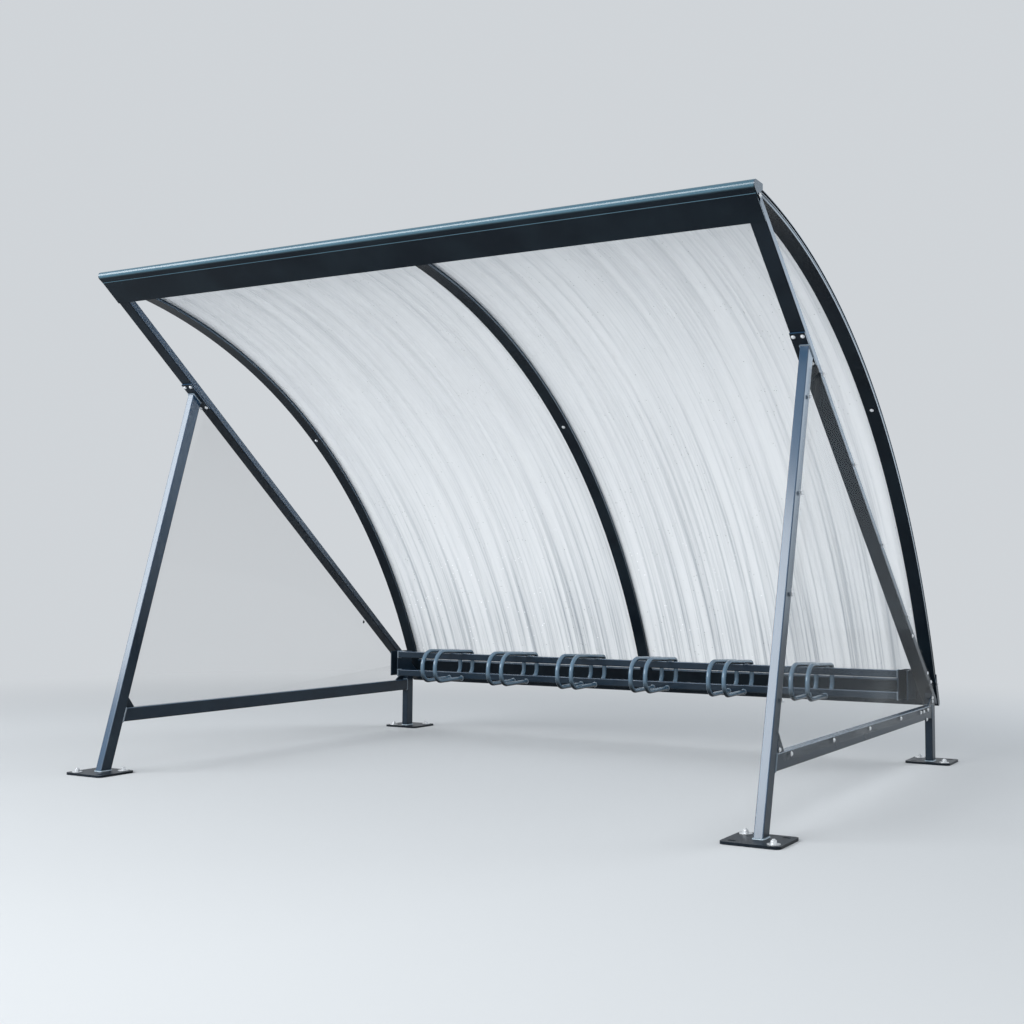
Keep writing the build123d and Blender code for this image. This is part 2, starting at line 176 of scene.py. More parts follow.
# Place, target, size, power and colour
lamps = {
    "bank": ((-4.3, -6.9, 4.8), (0.0, 0.0, 0.9), (8.5, 3.8), 570.0, (0.95, 0.98, 1.0)),
    "back": ((6.0, 7.0, 7.5), (0.0, 0.0, 1.2), (5.0, 5.0), 330.0, (0.95, 0.98, 1.0)),
    "side": ((4.6, 6.6, 2.4), (0.8, 0.0, 1.2), (4.5, 4.0), 50.0, (0.74, 0.87, 1.0)),
    "fill": ((0.6, -9.0, 2.0), (0.0, 0.0, 1.4), (8.0, 2.5), 470.0, (0.97, 0.99, 1.0)),
}
glinting_lamps = ("bank", "side")
world = bpy.data.worlds.new("studio")
world.use_nodes = True
world.node_tree.nodes.clear()
bpy.context.scene.world = world
sky = Socket(world.node_tree)
path = [sky.node("LightPath", output=ray) for ray in
        ("Is Camera Ray", "Is Glossy Ray", "Is Transmission Ray")]
seen = (path[0] + path[1] + path[2]).above(0.0, 1.0)
lit = sky.node("Background", (), {"Color": sky_colour, "Strength": sky_strength})
shown = sky.node("Background", (), {"Color": backdrop_colour, "Strength": 1.0})
sky.node("OutputWorld", (), {"Surface": sky.node("MixShader", (), {0: seen, 1: lit, 2: shown})})
for name, (place, target, size, power, colour) in lamps.items():
    lamp = bpy.data.lights.new(name, "AREA")
    lamp.shape = "RECTANGLE"
    lamp.size, lamp.size_y = size
    lamp.energy = power
    lamp.color = colour
    lamp_stand = bpy.data.objects.new(name, lamp)
    bpy.context.scene.collection.objects.link(lamp_stand)
    lamp_stand.visible_camera = False
    lamp_stand.visible_glossy = name in glinting_lamps
    lamp_stand.location = place
    lamp_stand.rotation_euler = (Vector(place) - Vector(target)).to_track_quat("Z", "Y").to_euler()


# Side frames: welded steel box section in anthracite powder coat, semi-gloss, with a fine
# orange peel. A pale bluish sheen of the sky is painted into its colour where it faces up or
# stands high, and painted shade holds the low parts dark. Dust lies on the tops, and rain has
# splashed the feet.
steel_colour = (0.005, 0.008, 0.012, 1.0)
steel_pale = (0.009, 0.014, 0.020, 1.0)
# Painted sheen: the pale bluish tone of faces that look up
steel_sheen = (0.034, 0.070, 0.115, 1.0)
steel_rise = (-0.35, 0.12)
plate_rise = (0.55, 1.60)
# Painted shade: the heights and shift that hold the low parts back from the painted sheen
shade_height = (0.4, 1.7)
shade_low = -0.22
shade_range = 0.27
gloss_tint = (0.72, 0.88, 1.0, 1.0)
dust_colour = (0.27, 0.265, 0.25, 1.0)


def powder_coat(name, tones, paler, rise_range, roughness, dust):
    """Powder coat between two close dark tones, with an amount of dust from 0 to 1.

    Over a range of its normal's rise it goes from dark and dull to a pale tone under a glossier
    coat: a painted sheen of the sky on faces that look up. The low parts, which stand in the
    shade, do so later: painted shade.
    """
    material, shader = new_material(name)
    place = shader.node("TexCoord", output="Object")
    facing = shader.node("NewGeometry", output="Normal")
    height = shader.node("SeparateXYZ", (), {0: place}, 2)
    rise = shader.node("SeparateXYZ", (), {0: facing}, 2)
    upward = rise.above(0.45, 1.0)
    # Painted sheen and painted shade: faces that look up or stand high turn pale and glossy
    painted_sheen = (rise + height.above(*shade_height) * shade_range + shade_low).above(*rise_range)
    mottle = shader.node("TexNoise", (), {"Vector": place, "Scale": 5.0, "Detail": 3.0})
    clumps = shader.node("TexNoise", (), {"Vector": place, "Scale": 38.0, "Detail": 4.0,
                                          "Roughness": 0.65}).above(0.35, 0.85)
    specks = shader.node("TexVoronoi", (), {"Vector": place, "Scale": 240.0}).above(0.24, 0.1)
    splashed = (1 - height.above(0.02, 0.30)) * clumps
    dirt = upward * clumps * dust + specks * splashed * 0.4 + splashed * 0.05
    peel = shader.node("TexNoise", (), {"Vector": place, "Scale": 420.0, "Detail": 2.0})
    bump = shader.node("Bump", (), {"Height": peel, "Strength": 0.08, "Distance": 0.0008})
    fresh = mottle.above(0.3, 0.72).blend(*tones)
    coat = (painted_sheen * (mottle * 0.3 + 0.75)).blend(fresh, paler)
    surface = shader.node("BsdfPrincipled", (), {
        "Base Color": (dirt * 0.7).blend(coat, dust_colour),
        "Roughness": dirt * 0.4 + mottle * 0.10 + roughness,
        "Specular IOR Level": 0.09, "Coat Weight": painted_sheen - dirt, "Coat Roughness": roughness * 0.7,
        "Coat IOR": 1.75, "Coat Tint": gloss_tint, "Normal": bump})
    shader.node("OutputMaterial", (), {"Surface": surface})
    return material


def dress(piece, material):
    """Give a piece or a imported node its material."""
    piece.data.materials.clear()
    piece.data.materials.append(material)
    for face in piece.data.polygons:
        face.material_index = 0


steel_tones = (steel_colour, steel_pale)
steel_coat = powder_coat("anthracite_steel", steel_tones, steel_sheen, steel_rise,
                         roughness=0.24, dust=0.28)
plate_coat = powder_coat("anthracite_plate", steel_tones, steel_sheen, plate_rise,
                         roughness=0.30, dust=0.22)
for side in sides:
    for part in ("gusset_front", "gusset_rear", "post", "post_flange", "rear_stub", "bottom_bar",
                 "beam"):
        dress(nodes[f"{part}_{side}"], steel_coat)
    for part in ("base_plate_front", "base_plate_rear"):
        dress(nodes[f"{part}_{side}"], plate_coat)

# Anchors: each base plate is held by two M12 studs with a nut and a wide washer, at
# opposite corners of the plate, in bright zinc. The other two slots are empty.
washer_radius = 0.0225
washer_thick = 0.003
washer_play = 0.0004
washer_edge = 0.0004
nut_flats = 0.019
nut_height = 0.0105
nut_land = 0.0014
nut_dome = 0.0006
nut_edge = 0.0005
stud_radius = 0.006
stud_point = 0.0008
thread_depth = 0.0006
thread_crest = 1.11
thread_pitch = 0.00175
thread_turns = 10
merge_reach = 0.0001
anchor_half = 0.070
anchor_turn = 0.4
anchor_slips = ((1, 0.004), (-1, -0.003))
zinc_colour = (0.86, 0.88, 0.90, 1.0)
zinc_dull = (0.64, 0.65, 0.66, 1.0)


def bright_zinc():
    """Zinc plating: cloudy, a little duller in patches."""
    material, shader = new_material("bright_zinc")
    place = shader.node("TexCoord", output="Object")
    cloud = shader.node("TexNoise", (), {"Vector": place, "Scale": 260.0, "Detail": 4.0})
    fine = shader.node("TexNoise", (), {"Vector": place, "Scale": 1500.0, "Detail": 2.0})
    bump = shader.node("Bump", (), {"Height": fine, "Strength": 0.12, "Distance": 0.0003})
    surface = shader.node("BsdfPrincipled", (), {
        "Base Color": cloud.above(0.35, 0.7).blend(zinc_colour, zinc_dull),
        "Metallic": 0.7, "Roughness": cloud * 0.3 + 0.25, "Normal": bump})
    shader.node("OutputMaterial", (), {"Surface": surface})
    return material


def start(primitive, stretch=(1, 1, 1), **sizes):
    """Add a primitive with nothing else selected, stretched and with its place in its mesh."""
    bpy.ops.object.select_all(action="DESELECT")
    getattr(bpy.ops.mesh, f"primitive_{primitive}_add")(**sizes)
    bpy.context.object.scale = stretch
    bpy.ops.object.transform_apply(location=True, rotation=True, scale=True)
    return bpy.context.object


def choose(piece, kind, test):
    """In edit mode, select only the faces or edges that pass a test."""
    bpy.ops.mesh.select_mode(type=kind)
    bpy.ops.mesh.select_all(action="DESELECT")
    mesh = bmesh.from_edit_mesh(piece.data)
    for element in mesh.faces if kind == "FACE" else mesh.edges:
        if test(element):
            element.select_set(True)
    bmesh.update_edit_mesh(piece.data)


def join(pieces, name):
    """Join pieces into the first and name it."""
    bpy.ops.object.select_all(action="DESELECT")
    for piece in pieces:
        piece.select_set(True)
    bpy.context.view_layer.objects.active = pieces[0]
    if len(pieces) > 1:
        bpy.ops.object.join()
    pieces[0].name = name
    return pieces[0]


def copies(pattern, places, name):
    """One joined piece of copies of a pattern, each with its own mesh, at some matrices."""
    made = []
    for place in places:
        copy = pattern.copy()
        copy.data = pattern.data.copy()
        copy.data.transform(place)
        bpy.context.scene.collection.objects.link(copy)
        made.append(copy)
    return join(made, name)


def finish_piece(piece, material, smooth=35.0):
    """Smooth a new piece over its gentle edges, dress it and let it ride on the shelter."""
    bpy.ops.object.select_all(action="DESELECT")
    piece.select_set(True)
    bpy.context.view_layer.objects.active = piece
    bpy.ops.object.shade_smooth_by_angle(angle=radians(smooth))
    dress(piece, material)
    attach(piece, "root")


zinc = bright_zinc()
washer = start("cylinder", vertices=32, radius=washer_radius, depth=washer_thick,
               location=(0, 0, washer_thick / 2))
bpy.ops.object.mode_set(mode="EDIT")
choose(washer, "FACE", lambda face: abs(face.normal.z) > 0.9)
bpy.ops.mesh.inset(thickness=washer_radius - stud_radius - washer_play)
bpy.ops.mesh.bridge_edge_loops()
rim = washer_radius - washer_edge / 2
choose(washer, "EDGE", lambda edge: all(hypot(v.co.x, v.co.y) > rim for v in edge.verts))
bpy.ops.mesh.bevel(offset=washer_edge, segments=2)
bpy.ops.object.mode_set(mode="OBJECT")

nut = start("cylinder", vertices=6, radius=nut_flats / sqrt(3), depth=nut_height,
            location=(0, 0, washer_thick + nut_height / 2))
bpy.ops.object.mode_set(mode="EDIT")
choose(nut, "FACE", lambda face: face.normal.z > 0.9)
bpy.ops.mesh.inset(thickness=nut_land)
bpy.ops.transform.translate(value=(0, 0, nut_dome))
bpy.ops.mesh.select_all(action="SELECT")
bpy.ops.mesh.bevel(offset=nut_edge, segments=2)
bpy.ops.object.mode_set(mode="OBJECT")

half_turn = thread_pitch / 2
thread = start("cylinder", vertices=20, radius=stud_radius - thread_depth, depth=thread_pitch,
               end_fill_type="NOTHING", location=(0, 0, half_turn))
bpy.ops.object.mode_set(mode="EDIT")
choose(thread, "EDGE", lambda edge: abs(edge.verts[0].co.z - edge.verts[1].co.z) > half_turn)
bpy.ops.mesh.subdivide(number_cuts=1)
choose(thread, "EDGE", lambda edge: all(abs(v.co.z - half_turn) < merge_reach for v in edge.verts))
bpy.ops.transform.resize(value=(thread_crest, thread_crest, 1.0))
bpy.ops.object.mode_set(mode="OBJECT")
turns = thread.modifiers.new("turns", "ARRAY")
turns.count = thread_turns
turns.use_relative_offset = False
turns.use_constant_offset = True
turns.constant_offset_displace = (0, 0, thread_pitch)
turns.use_merge_vertices = True
turns.merge_threshold = merge_reach
bpy.ops.object.modifier_apply(modifier="turns")
bpy.ops.object.mode_set(mode="EDIT")
stud_top = thread_pitch * thread_turns
for end, rise in ((0.0, 0.0), (stud_top, stud_point)):
    choose(thread, "EDGE", lambda edge: all(abs(v.co.z - end) < merge_reach for v in edge.verts))
    bpy.ops.mesh.extrude_region_move(TRANSFORM_OT_translate={"value": (0, 0, rise)})
    bpy.ops.transform.resize(value=(0.8, 0.8, 1.0))
    bpy.ops.mesh.edge_face_add()
bpy.ops.object.mode_set(mode="OBJECT")
anchor = join([washer, nut, thread], "anchor")

for end in ("front", "rear"):
    for side, sign in sides.items():
        low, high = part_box(f"base_plate_{end}_{side}")
        middle = (low + high) / 2
        places = []
        for way, slip in anchor_slips:
            corner = Vector((middle.x + way * sign * anchor_half + slip,
                             middle.y - way * anchor_half, high.z))
            turn = Matrix.Rotation(way * anchor_turn + middle.y, 4, "Z")
            places.append(Matrix.Translation(corner) @ turn)
        anchors = copies(anchor, places, f"anchors_{end}_{side}")
        finish_piece(anchors, zinc)
bpy.data.objects.remove(anchor)

# Beam line: where each slanted beam lies in the side view, from the sizes it is made to.
# Its underside runs from the foot of the front rail's nose to the rear stub.
beam_head_inset = 0.0397
beam_head_height = 2.1877
beam_heel_inset = 0.103
beam_heel_height = 0.2885
beam_head = Vector((cad_low.y + beam_head_inset, beam_head_height))
beam_heel = Vector((cad_high.y - beam_heel_inset, beam_heel_height))
beam_way = (beam_heel - beam_head).normalized()
beam_up = Vector((-beam_way.y, beam_way.x))
beam_depth = 0.035
flange_thick = 0.006


def on_beam(x, along, above):
    """A point in space, along the beam from its head and square to its underside."""
    point = beam_head + beam_way * along + beam_up * above
    return Vector((x, point.x, point.y))


def along_beam(y, above):
    """How far along the beam a place at that y and that far above its underside is."""
    return (y - beam_head.x - beam_up.x * above) / beam_way.x


# Welds: a bead runs round the foot of every post and stub, round both ends of the bottom
# bars and round the post where it meets its flange. It is coated with the rest, in tones
# painted far paler than the frame and palest at the feet: a painted highlight of the beads
# catching the light.
bead_radius = 0.0042
bead_flat = 0.62
bead_step = 0.0034
post_depth = 0.060
post_lean = radians(17.0)
flange_front = 0.062
flange_back = 0.045
# Painted highlight: the pale weld tones, paler still at the feet
weld_colour = (0.11, 0.13, 0.15, 1.0)
weld_pale = (0.22, 0.25, 0.28, 1.0)
foot_colour = (0.30, 0.32, 0.33, 1.0)
foot_pale = (0.46, 0.48, 0.49, 1.0)
weld_coat = powder_coat("coated_weld", (weld_colour, weld_pale), weld_pale, steel_rise,
                        roughness=0.22, dust=0.35)
foot_coat = powder_coat("foot_weld_highlight", (foot_colour, foot_pale), foot_pale, steel_rise,
                        roughness=0.30, dust=0.20)
weld_pattern = start("uv_sphere", segments=8, ring_count=5, radius=bead_radius)
bpy.ops.object.mode_set(mode="EDIT")
bpy.ops.transform.resize(value=(1.0, 1.0, bead_flat))
bpy.ops.transform.translate(value=(0, 0, bead_step / 2))
bpy.ops.object.mode_set(mode="OBJECT")


def weld_run(first, last):
    """A row of overlapping weld scales from one point to another."""
    run = weld_pattern.copy()
    run.data = weld_pattern.data.copy()
    bpy.context.scene.collection.objects.link(run)
    length = (last - first).length
    scales = run.modifiers.new("scales", "ARRAY")
    scales.count = max(2, round(length / bead_step))
    scales.use_relative_offset = False
    scales.use_constant_offset = True
    scales.constant_offset_displace = (0, 0, length / scales.count)
    bpy.context.view_layer.objects.active = run
    bpy.ops.object.modifier_apply(modifier="scales")
    turn = (last - first).to_track_quat("Z", "Y").to_matrix().to_4x4()
    run.data.transform(Matrix.Translation(first) @ turn)
    return run


def weld_loop(corners):
    """Weld runs from each corner to the next and back to the first."""
    return [weld_run(corner, corners[index - 1]) for index, corner in enumerate(corners)]


for side, sign in sides.items():
    foot_runs, runs = [], []
    post_low, post_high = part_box(f"post_{side}")
    stub_low, stub_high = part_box(f"rear_stub_{side}")
    bar_low, bar_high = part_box(f"bottom_bar_{side}")
    foot_back = post_low.y + post_depth / cos(post_lean)
    for y_low, y_high, z in ((post_low.y, foot_back, post_low.z),
                             (stub_low.y, stub_high.y, stub_low.z)):
        foot_runs += weld_loop([Vector((post_low.x, y_low, z)), Vector((post_high.x, y_low, z)),
                                Vector((post_high.x, y_high, z)), Vector((post_low.x, y_high, z))])
    lean_shift = (bar_high.z - bar_low.z) * tan(post_lean)
    for y, shift in ((bar_low.y, lean_shift), (stub_low.y, 0.0)):
        runs += weld_loop([Vector((bar_low.x, y, bar_low.z)), Vector((bar_high.x, y, bar_low.z)),
                           Vector((bar_high.x, y + shift, bar_high.z)),
                           Vector((bar_low.x, y + shift, bar_high.z))])
    flange_low, flange_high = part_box(f"post_flange_{side}")
    top_front = along_beam(flange_low.y, -flange_thick) + flange_front
    top_back = along_beam(flange_high.y, 0) - flange_back
    runs += weld_loop([on_beam(x, along, -flange_thick) for x, along in (
        (post_low.x, top_front), (post_high.x, top_front),
        (post_high.x, top_back), (post_low.x, top_back))])
    welds = join(runs, f"frame_welds_{side}")
    finish_piece(welds, weld_coat)
    foot_welds = join(foot_runs, f"foot_welds_{side}")
    finish_piece(foot_welds, foot_coat)

# Roof line: the arch in the side view, one arc through its seats in the two rails, with the
# sheet and the cap strip on top of it.
arch_rise = 0.4216
arch_depth = 0.016
sheet_thick = 0.010
cap_thick = 0.004
front_seat_along = 0.0314
front_seat_above = 0.0087
rear_seat_inset = 0.095
rear_seat_height = 0.385
front_seat = beam_head + beam_way * front_seat_along + beam_up * front_seat_above
rear_seat = Vector((cad_high.y - rear_seat_inset, rear_seat_height))
chord = rear_seat - front_seat
arch_radius = (chord.length**2 / 4 + arch_rise**2) / (2 * arch_rise)
chord_out = Vector((-chord.y, chord.x)).normalized()
arch_middle = (front_seat + rear_seat) / 2 - chord_out * (arch_radius - arch_rise)
front_angle = atan2(*(front_seat - arch_middle))
rear_angle = atan2(*(rear_seat - arch_middle))


def on_arch(x, angle, out):
    """A point in space at an angle back from the top of the arc, out from its underside."""
    reach = arch_radius + out
    return Vector((x, arch_middle.x + reach * sin(angle), arch_middle.y + reach * cos(angle)))


# Roof profiles and rails: extruded aluminium in the same anthracite, smoother and a little
# bluer than the steel, with the same painted sheen of the sky. The front rail, round nose and
# all, is painted a dull teal sheen of the sky on all but its downward faces.
alloy_tones = ((0.004, 0.007, 0.011, 1.0), (0.007, 0.012, 0.017, 1.0))
alloy_sheen = (0.026, 0.060, 0.095, 1.0)
# Painted sheen: the nose's teal, for the sky it reflects
nose_sheen = (0.042, 0.110, 0.140, 1.0)
nose_rise = (-0.76, -0.30)
alloy_coat = powder_coat("anthracite_aluminium", alloy_tones, alloy_sheen, steel_rise,
                         roughness=0.20, dust=0.12)
nose_coat = powder_coat("aluminium_sky_sheen", alloy_tones, nose_sheen, nose_rise,
                        roughness=0.34, dust=0.12)
for part in ("arch_left", "arch_middle", "arch_right", "cap_strip_left", "cap_strip_middle",
             "cap_strip_right", "front_rail", "rear_rail"):
    dress(nodes[part], nose_coat if part == "front_rail" else alloy_coat)
for side in sides:
    for part in ("front_rail_cap", "rear_rail_cap"):
        dress(nodes[f"{part}_{side}"], alloy_coat)

# Roof sheets: clear multiwall polycarbonate, two thin skins on ribs 10.5 mm apart that run
# with the arch. Rain has left drops and streaks; each sheet is one bent shell with its ribs.
rib_pitch = 0.0105
arc_steps = 72
seat_gap = 0.0003
sheet_end_gap = 0.001
sheet_clear = (0.97, 0.98, 0.99, 1.0)
sheet_streak = (0.36, 0.39, 0.42, 1.0)
sheet_speck = (0.10, 0.11, 0.11, 1.0)
# Painted glint: the white of the water drops
sheet_drop_glint = (1.0, 1.0, 1.0, 1.0)
damp_height = (1.45, 0.55)


def streaky_skin():
    """Clear skin with fine streaks along the flutes, a few specks, and drops lower down."""
    material, shader = new_material("multiwall_skin")
    place = shader.node("TexCoord", output="Object")
    damp = shader.node("SeparateXYZ", (), {0: place}, 2).above(*damp_height)
    fine = shader.node("Mapping", (), {"Vector": place, "Scale": (135.0, 0.6, 0.6)})
    broad = shader.node("Mapping", (), {"Vector": place, "Scale": (42.0, 0.35, 0.35)})
    lines = shader.node("TexNoise", (), {"Vector": fine, "Scale": 1.0, "Detail": 1.0,
                                         "Roughness": 0.6}).above(0.48, 0.66)
    bands = shader.node("TexNoise", (), {"Vector": broad, "Scale": 1.0,
                                         "Detail": 1.0}).above(0.46, 0.72)
    cells = shader.node("TexVoronoi", (), {"Vector": place, "Scale": 46.0})
    chance = shader.node("TexNoise", (), {"Vector": place, "Scale": 7.0, "Detail": 0.0})
    # Painted glint: the drops are painted white and more opaque, for the light on the water
    drops = cells.above(0.15, 0.09) * chance.above(0.56, 0.70) * damp
    specks = cells.above(0.12, 0.07) * (1 - chance.above(0.40, 0.46))
    streaks = lines * (damp * 0.30 + 0.34) + bands * (damp * 0.22 + 0.14)
    facing = shader.node("LayerWeight", (), {"Blend": 0.35}, 1)
    streaked = streaks.blend(sheet_clear, sheet_streak)
    surface = shader.node("BsdfPrincipled", (), {
        "Base Color": specks.blend(drops.blend(streaked, sheet_drop_glint), sheet_speck),
        "Roughness": bands * 0.15 + 0.18,
        "Alpha": streaks * 0.25 + drops * 0.4 + specks * 0.4 + facing * 0.2 + 0.46})
    shader.node("OutputMaterial", (), {"Surface": surface})
    return material


def plain_rib():
    """The same clear plastic inside the sheet, a little cloudy."""
    material, shader = new_material("multiwall_rib")
    place = shader.node("TexCoord", output="Object")
    cloud = shader.node("TexNoise", (), {"Vector": place, "Scale": 6.0, "Detail": 0.0})
    surface = shader.node("BsdfPrincipled", (), {
        "Base Color": cloud.blend(sheet_clear, sheet_streak), "Roughness": 0.3,
        "Alpha": cloud * 0.08 + 0.06})
    shader.node("OutputMaterial", (), {"Surface": surface})
    return material


skin = streaky_skin()
rib = plain_rib()
for side in sides:
    low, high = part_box(f"roof_sheet_{side}")
    width = high.x - low.x
    middle_x = (low.x + high.x) / 2
    end_angle = rear_angle - sheet_end_gap / arch_radius
    section = {"size": 1.0, "rotation": (pi / 2 - front_angle, 0, 0),
               "location": on_arch(middle_x, front_angle, arch_depth + sheet_thick / 2),
               "stretch": (width, sheet_thick - 2 * seat_gap, 1.0)}
    sweep = {"steps": arc_steps, "angle": end_angle - front_angle, "axis": (1, 0, 0),
             "center": on_arch(middle_x, 0, -arch_radius)}
    shell = start("plane", **section)
    bpy.ops.object.mode_set(mode="EDIT")
    bpy.ops.mesh.spin(**sweep)
    bpy.ops.mesh.select_all(action="SELECT")
    bpy.ops.mesh.normals_make_consistent(inside=False)
    bpy.ops.object.mode_set(mode="OBJECT")
    shell.name = f"sheet_skins_{side}"
    finish_piece(shell, skin)
    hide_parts(f"roof_sheet_{side}")

    ribs = start("grid", x_subdivisions=round(width / rib_pitch), y_subdivisions=1, **section)
    bpy.ops.object.mode_set(mode="EDIT")
    choose(ribs, "EDGE", lambda edge: abs(edge.verts[0].co.x - edge.verts[1].co.x) > rib_pitch / 2)
    bpy.ops.mesh.delete(type="EDGE")
    bpy.ops.mesh.select_all(action="SELECT")
    bpy.ops.mesh.spin(**sweep)
    bpy.ops.object.mode_set(mode="OBJECT")
    ribs.name = f"sheet_ribs_{side}"
    finish_piece(ribs, rib)
    ribs.visible_shadow = False
    ribs.visible_diffuse = False

# Side panels: clear solid sheet with a faint smoky tint, glossy, screwed to the outside of
# the frame with a hair's gap. A thin film of dust low down shows when the light grazes it.
panel_gap = 0.0004
panel_tint = (0.09, 0.105, 0.11, 1.0)
panel_dust = (0.45, 0.46, 0.45, 1.0)


def smoky_panel():
    material, shader = new_material("clear_panel")
    place = shader.node("TexCoord", output="Object")
    height = shader.node("SeparateXYZ", (), {0: place}, 2)
    film = shader.node("TexNoise", (), {"Vector": place, "Scale": 2.2,
                                        "Detail": 1.0}).above(0.40, 0.9)
    splash = (1 - height.above(0.22, 0.60)) * film
    facing = shader.node("LayerWeight", (), {"Blend": 0.25}, 1)
    surface = shader.node("BsdfPrincipled", (), {
        "Base Color": splash.blend(panel_tint, panel_dust), "Roughness": film * 0.05 + 0.03,
        "Alpha": facing * 0.12 + splash * 0.05 + 0.03})
    shader.node("OutputMaterial", (), {"Surface": surface})
    return material


panel_sheet = smoky_panel()
for side, sign in sides.items():
    packed = nodes[f"side_panel_{side}"]
    panel = bpy.data.objects.new(f"clear_panel_{side}", packed.data.copy())
    bpy.context.scene.collection.objects.link(panel)
    bpy.ops.object.select_all(action="DESELECT")
    panel.select_set(True)
    bpy.context.view_layer.objects.active = panel
    bpy.ops.object.mode_set(mode="EDIT")
    bpy.ops.mesh.select_all(action="SELECT")
    bpy.ops.mesh.remove_doubles(threshold=0.00001)
    choose(panel, "FACE", lambda face: face.normal.x * sign < -0.9)
    bpy.ops.transform.translate(value=(sign * panel_gap, 0, 0))
    bpy.ops.object.mode_set(mode="OBJECT")
    finish_piece(panel, panel_sheet)
    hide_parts(f"side_panel_{side}")

# Panel screws: bright pan heads on a washer over a rubber ring, along the post, the bottom
# bar and the side of the beam, with a few more where bar, stub and rail meet.
head_radius = 0.0064
head_height = 0.0040
screw_washer = 0.0088
screw_washer_thick = 0.0012
ring_radius = 0.0074
ring_thick = 0.0016
head_edge = 0.0024
socket_rim = 0.0012
socket_depth = 0.0018
screw_washer_edge = 0.0004
ring_edge = 0.0005
# A row's first place, step and count
post_row = (0.453, 0.363, 4)
bar_row = (-0.951, 0.4985, 5)
beam_row = (0.913, 0.519, 5)
bar_row_height = 0.264
lap_half = 0.014
panel_reach = (-1.0, 1.15)
# Single screws' (y, z) places
loose_screws = ((-1.061, 0.288), (0.907, 0.262), (0.965, 0.262), (1.041, 0.219),
                (1.137, 0.313), (1.156, 0.295), (0.767, 0.619), (1.044, 0.436))
rubber_colour = (0.012, 0.012, 0.013, 1.0)
rubber_worn = (0.035, 0.034, 0.033, 1.0)


def black_rubber():
    """Weathered black rubber, dull and dusty in patches."""
    material, shader = new_material("black_rubber")
    place = shader.node("TexCoord", output="Object")
    paler = shader.node("TexNoise", (), {"Vector": place, "Scale": 55.0,
                                        "Detail": 5.0}).above(0.4, 0.75)
    bump = shader.node("Bump", (), {"Height": paler, "Strength": 0.1, "Distance": 0.0005})
    surface = shader.node("BsdfPrincipled", (), {
        "Base Color": paler.blend(rubber_colour, rubber_worn),
        "Roughness": paler * 0.2 + 0.55, "Normal": bump})
    shader.node("OutputMaterial", (), {"Surface": surface})
    return material


rubber = black_rubber()


def turned_disc(radius, thick, low, rounding):
    """A disc with its top edge rounded, its axis along Z."""
    disc = start("cylinder", vertices=20, radius=radius, depth=thick,
                 location=(0, 0, low + thick / 2))
    bpy.ops.object.mode_set(mode="EDIT")
    choose(disc, "EDGE", lambda edge: all(v.co.z > low + thick * 0.9 for v in edge.verts))
    bpy.ops.mesh.bevel(offset=rounding, segments=3)
    bpy.ops.object.mode_set(mode="OBJECT")
    return disc


screw_head = turned_disc(head_radius, head_height, screw_washer_thick, head_edge)
bpy.ops.object.mode_set(mode="EDIT")
choose(screw_head, "FACE",
       lambda face: face.normal.z > 0.99 and face.calc_center_median().z > head_height)
bpy.ops.mesh.inset(thickness=socket_rim)
bpy.ops.mesh.extrude_region_move(TRANSFORM_OT_translate={"value": (0, 0, -socket_depth)})
bpy.ops.object.mode_set(mode="OBJECT")
screw_disc = turned_disc(screw_washer, screw_washer_thick, 0.0, screw_washer_edge)
screw = join([screw_head, screw_disc], "screw")
ring = turned_disc(ring_radius, ring_thick, 0.0, ring_edge)


def set_screws(name, seats):
    """Screws with rubber rings at (place, direction) seats."""
    stands = [Matrix.Translation(place) @ way.to_track_quat("Z", "Y").to_matrix().to_4x4()
              for place, way in seats]
    lift = Matrix.Translation((0, 0, ring_thick))
    heads = copies(screw, [stand @ lift for stand in stands], name)
    finish_piece(heads, zinc)
    rings = copies(ring, stands, f"{name}_rings")
    finish_piece(rings, rubber)


def post_back(height):
    """Where the middle of the panel's lap lies on the post at a height."""
    lap_middle = (post_depth - lap_half) / cos(post_lean)
    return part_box("post_left")[0].y + lap_middle + height * tan(post_lean)


for side, sign in sides.items():
    panel_low, panel_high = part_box(f"side_panel_{side}")
    face = panel_high.x if sign > 0 else panel_low.x
    out = Vector((sign, 0, 0))
    seats = []
    first, step, count = post_row
    for index in range(count):
        height = first + index * step
        seats.append((Vector((face, post_back(height), height)), out))
    first, step, count = bar_row
    for index in range(count):
        seats.append((Vector((face, first + index * step, bar_row_height)), out))
    first, step, count = beam_row
    for index in range(count):
        seats.append((on_beam(face, first + index * step, beam_depth / 2), out))
    frame_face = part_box(f"post_{side}")[1 if sign > 0 else 0].x
    for y, z in loose_screws:
        covered = panel_reach[0] < y < panel_reach[1] and z > panel_low.z
        seats.append((Vector((face if covered else frame_face, y, z)), out))
    set_screws(f"panel_screws_{side}", seats)

# Roof screws: one up into each arch through its underside and three down through each cap
# strip, two at each end of the post flanges, and one in each end cap of the rails.
arch_half = 0.030
frame_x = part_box("arch_right")[0].x + arch_half
# Shares of the way back along the arc
arch_screw = 0.510
cap_screws = (0.04, 0.52, 0.96)
# From the flange's front end, from its back end, and between the two of a pair
flange_screws = (0.016, 0.014)
flange_screw_pitch = 0.036
# Along and above the beam line, and (y, z) from the tail cap's upper front corner
nose_screw = (0.0445, 0.012)
tail_screw = (0.028, -0.045)
for name, x in (("left", -frame_x), ("middle", 0.0), ("right", frame_x)):
    angle = front_angle + (rear_angle - front_angle) * arch_screw
    inward = on_arch(0, angle, -1) - on_arch(0, angle, 0)
    seats = [(on_arch(x, angle, 0), inward)]
    for share in cap_screws:
        angle = front_angle + (rear_angle - front_angle) * share
        seats.append((on_arch(x, angle, arch_depth + sheet_thick + cap_thick),
                      on_arch(0, angle, 1) - on_arch(0, angle, 0)))
    set_screws(f"arch_screws_{name}", seats)

